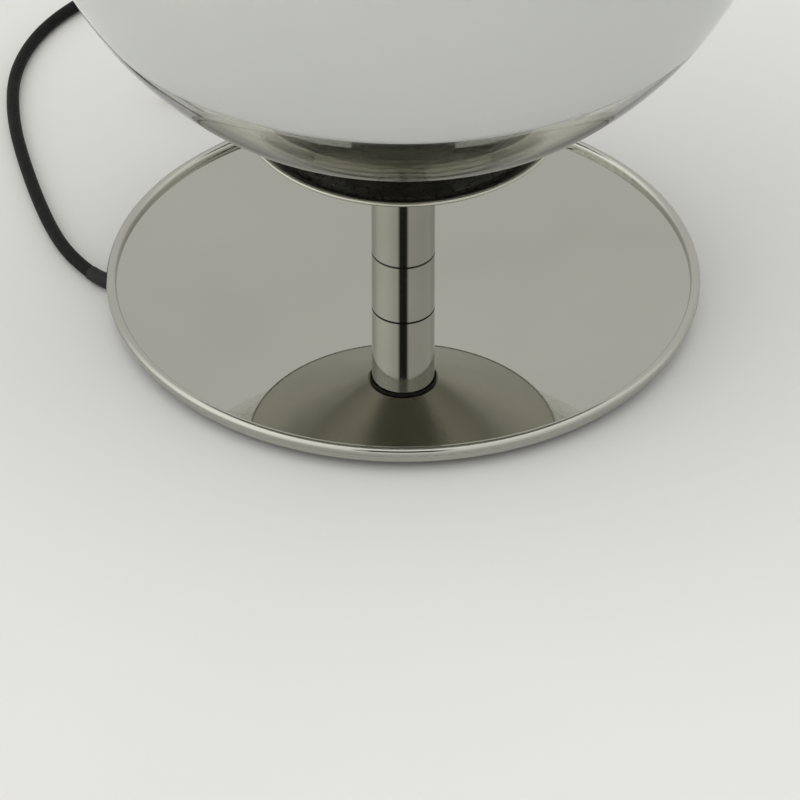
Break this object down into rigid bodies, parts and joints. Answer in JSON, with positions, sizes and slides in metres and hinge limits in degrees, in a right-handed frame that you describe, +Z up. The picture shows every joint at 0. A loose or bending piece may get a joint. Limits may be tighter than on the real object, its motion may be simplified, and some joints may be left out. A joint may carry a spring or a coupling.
{
  "type": "glass globe table lamp",
  "caption": "Table lamp with a large glass globe, white above and clear at the foot, on a chrome cup and short stem over a flat mirror-polished round base with a rolled rim.",
  "frame": {"origin": "middle of the felt's underside, on the table", "axes": "+Z up along the stem, +X to the right as seen from the front, +Y to the back; the cord leaves towards -X"},
  "size_m": [0.3701, 0.4453, 0.4525],
  "materials": {
    "chrome_plate": "polished, mirror bright",
    "cast_iron": "as cast, dark",
    "felt": "pressed felt",
    "steel": "zinc plated",
    "black_rubber": "matt",
    "black_enamel": "black enamel",
    "black_plastic": "moulded, satin",
    "white_ceramic": "glazed",
    "brass": "plain",
    "cord_jacket": "round flexible jacket, satin",
    "brown_insulation": "smooth",
    "blue_insulation": "smooth",
    "clear_glass": "clear, polished",
    "opal_glass": "white opal, glossy",
    "frosted_glass": "frosted",
    "aluminium": "plain",
    "black_glass": "pressed black glass",
    "filament": "coated"
  },
  "bodies": {
    "stand": {"base_shell": "chrome_plate", "base_ballast": "cast_iron", "base_felt": "felt", "base_studs": "steel", "base_screws": "steel", "base_washer": "steel", "base_nut": "steel", "threaded_rod": "steel", "stem_collar": "chrome_plate", "stem_tube": "chrome_plate", "stem_bush": "steel", "stem_gasket": "black_rubber", "cup": "chrome_plate", "cup_spacer": "steel", "globe_carrier": "black_enamel", "globe_ring": "black_rubber", "globe_spigot": "black_enamel", "top_washer": "steel", "top_nut": "steel", "holder_cap": "black_plastic", "holder_body": "black_plastic", "holder_ring": "black_plastic", "holder_insert": "white_ceramic", "screw_shell": "brass", "holder_contact": "brass", "terminal_1": "brass", "terminal_2": "brass", "cord_inner": "cord_jacket", "cord_sleeve": "black_rubber", "clamp_lower": "black_plastic", "clamp_upper": "black_plastic", "clamp_screws": "steel", "lead_brown": "brown_insulation", "lead_blue": "blue_insulation", "cord_free": "cord_jacket", "cord_link": "cord_jacket", "cord_coil": "cord_jacket", "cord_tail": "cord_jacket", "coil_tie": "black_plastic", "switch_lower": "black_plastic", "switch_upper": "black_plastic", "switch_contact": "brass", "switch_screws": "steel", "plug_body": "black_plastic", "plug_pin_1": "brass", "plug_pin_2": "brass"},
    "globe": {"globe_clear": "clear_glass", "globe_opal": "opal_glass"},
    "bulb": {"bulb_glass": "frosted_glass", "bulb_cap": "aluminium", "bulb_insulator": "black_glass", "bulb_contact": "steel", "bulb_stem": "clear_glass", "bulb_wheel": "aluminium", "bulb_filaments": "filament"},
    "rocker": {"switch_rocker": "black_plastic"}
  },
  "joints": [
    {"name": "globe_lift", "type": "slide", "parent": "stand", "child": "globe", "axis": [0, 0, 1], "range_m": [0, 0.2]},
    {"name": "bulb_turn", "type": "hinge", "parent": "stand", "child": "bulb", "pos_m": [0, 0, 0.145], "axis": [0, 0, 1], "range_deg": [0, 1080]},
    {"name": "rocker_tilt", "type": "hinge", "parent": "stand", "child": "rocker", "pos_m": [-0.087, 0.2584, 0.0104], "axis": [0, 1, 0], "range_deg": [0, 16]}
  ]
}
